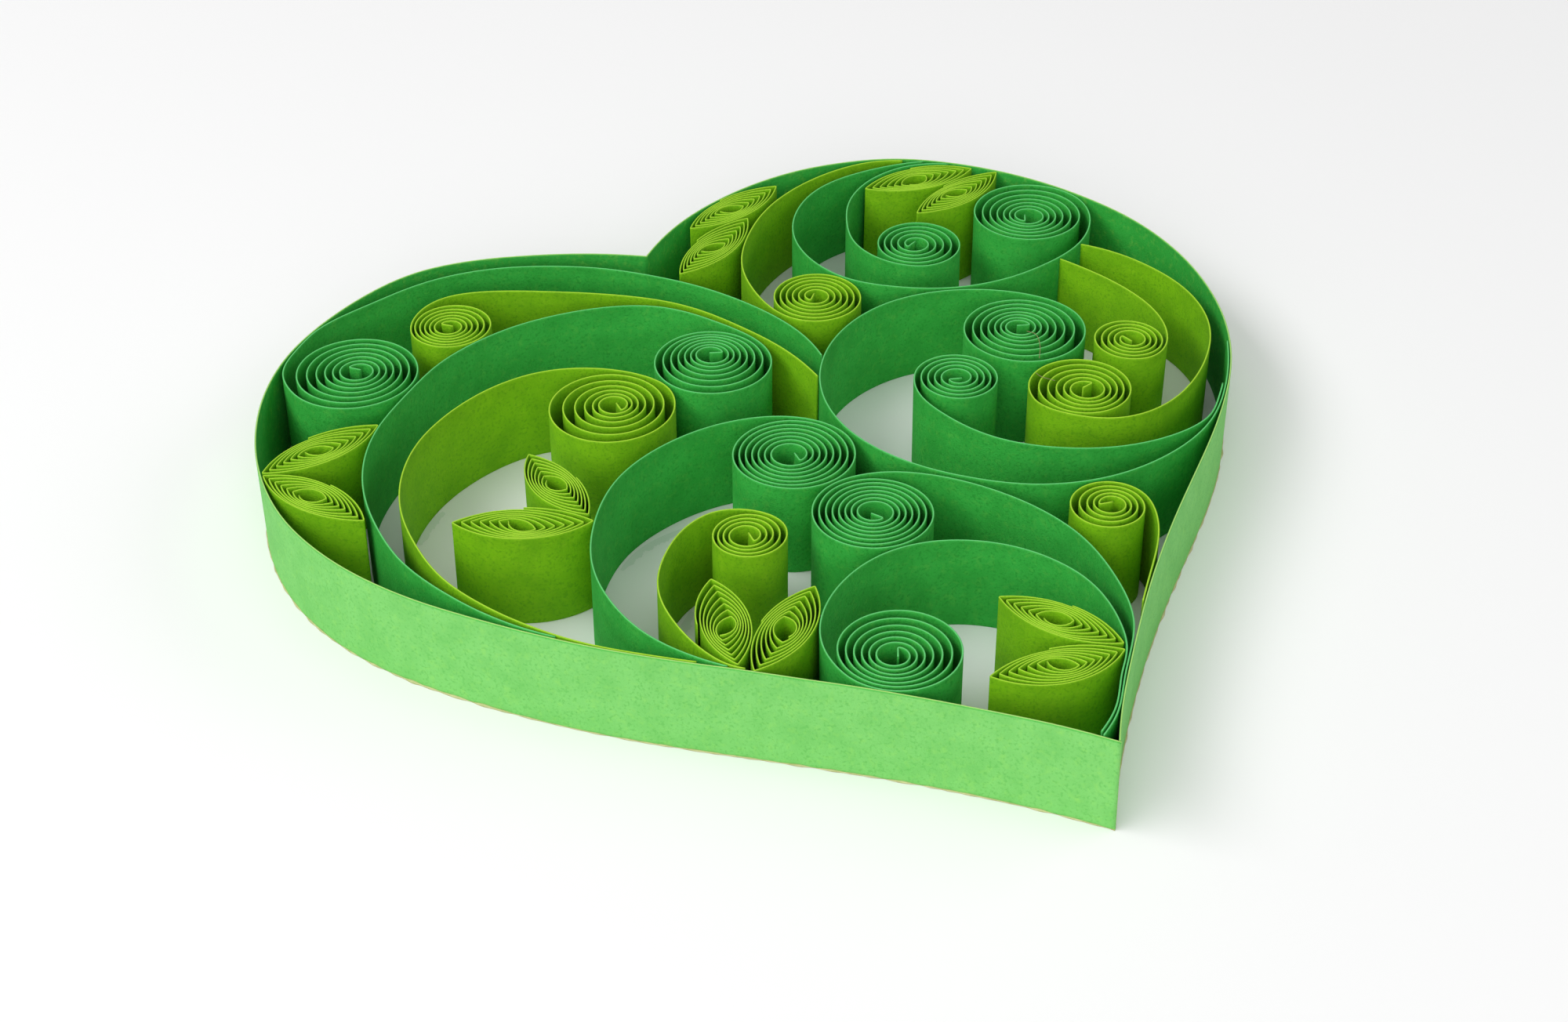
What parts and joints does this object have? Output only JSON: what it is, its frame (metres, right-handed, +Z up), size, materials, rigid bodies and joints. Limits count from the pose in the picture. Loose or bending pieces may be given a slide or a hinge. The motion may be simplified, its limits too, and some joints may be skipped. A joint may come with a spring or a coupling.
{
  "type": "quilled paper heart",
  "caption": "Heart of quilled paper: card strips on edge, rolled into scrolls and pinched leaf coils, glued inside a heart-shaped strip rim.",
  "frame": {"origin": "on the plane the strips' lower edges stand on, half way between the heart's point and its top, on its axis of symmetry", "axes": "+Z up, square to the plane of the heart; +Y from the point towards the notch; +X towards the right lobe seen from above"},
  "size_m": [0.1028, 0.1009, 0.01],
  "materials": {
    "rim_card": "matte tinted craft card, pale mint green, lighter cut edges",
    "green_card": "matte tinted craft card, leaf green, lighter cut edges",
    "lime_card": "matte tinted craft card, lime green, lighter cut edges"
  },
  "bodies": {
    "root": {"rim": "rim_card", "scroll_upper_left": "green_card", "scroll_lime_upper_left": "lime_card", "scroll_left_middle": "green_card", "scroll_lime_left": "lime_card", "scroll_centre": "green_card", "scroll_lime_centre": "lime_card", "scroll_lower_centre": "green_card", "scroll_point": "green_card", "scroll_right_middle": "green_card", "scroll_right_inner": "green_card", "scroll_lime_right": "lime_card", "scroll_lime_right_outer": "lime_card", "scroll_lime_lower_right": "lime_card", "scroll_lime_upper_right": "lime_card", "scroll_upper_right": "green_card", "scroll_upper_right_inner": "green_card", "leaf_left_upper": "lime_card", "leaf_left_lower": "lime_card", "leaf_hollow_upper": "lime_card", "leaf_hollow_lower": "lime_card", "leaf_centre_left": "lime_card", "leaf_centre_right": "lime_card", "leaf_point_upper": "lime_card", "leaf_point_lower": "lime_card", "leaf_notch_upper": "lime_card", "leaf_notch_lower": "lime_card", "leaf_right_upper": "lime_card", "leaf_right_lower": "lime_card"}
  },
  "joints": []
}
